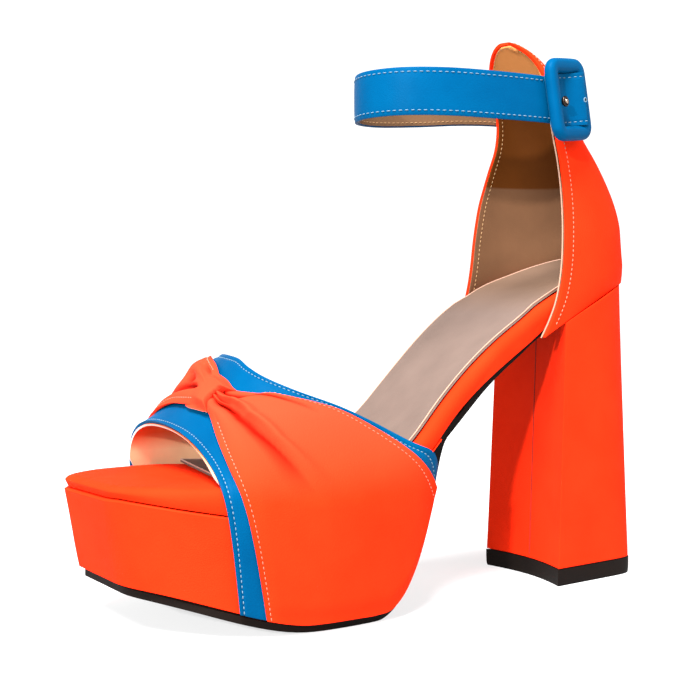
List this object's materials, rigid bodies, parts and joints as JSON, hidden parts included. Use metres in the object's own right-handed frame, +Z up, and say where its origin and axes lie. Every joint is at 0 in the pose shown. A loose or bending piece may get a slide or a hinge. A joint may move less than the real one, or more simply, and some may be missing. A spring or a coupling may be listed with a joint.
{
  "type": "platform sandal",
  "caption": "High platform sandal with a block heel, a two-colour vamp gathered through a loop, a closed heel cup and a buckled ankle strap.",
  "frame": {"origin": "on the floor, at the middle of the heel tip's underside", "axes": "toe points to -X, the outer side of this left shoe is -Y, the inner side is +Y, up is +Z"},
  "size_m": [0.233, 0.0978, 0.2232],
  "materials": {
    "orange_leather": "smooth satin leather, bright orange-red",
    "blue_leather": "smooth satin leather, strong blue",
    "beige_lining": "matte lining leather, beige",
    "black_rubber": "matte black-brown rubber",
    "bronze_metal": "dark bronze, satin"
  },
  "bodies": {
    "root": {"outsole": "black_rubber", "platform": "orange_leather", "insole_board": "orange_leather", "insole_sock": "beige_lining", "heel": "orange_leather", "top_lift": "black_rubber", "heel_counter": "orange_leather", "vamp_band": "blue_leather", "gathered_overlay": "orange_leather", "gather_loop": "orange_leather", "ankle_strap": "blue_leather", "buckle_frame": "blue_leather", "strap_end": "blue_leather", "buckle_prong": "bronze_metal"}
  },
  "joints": []
}
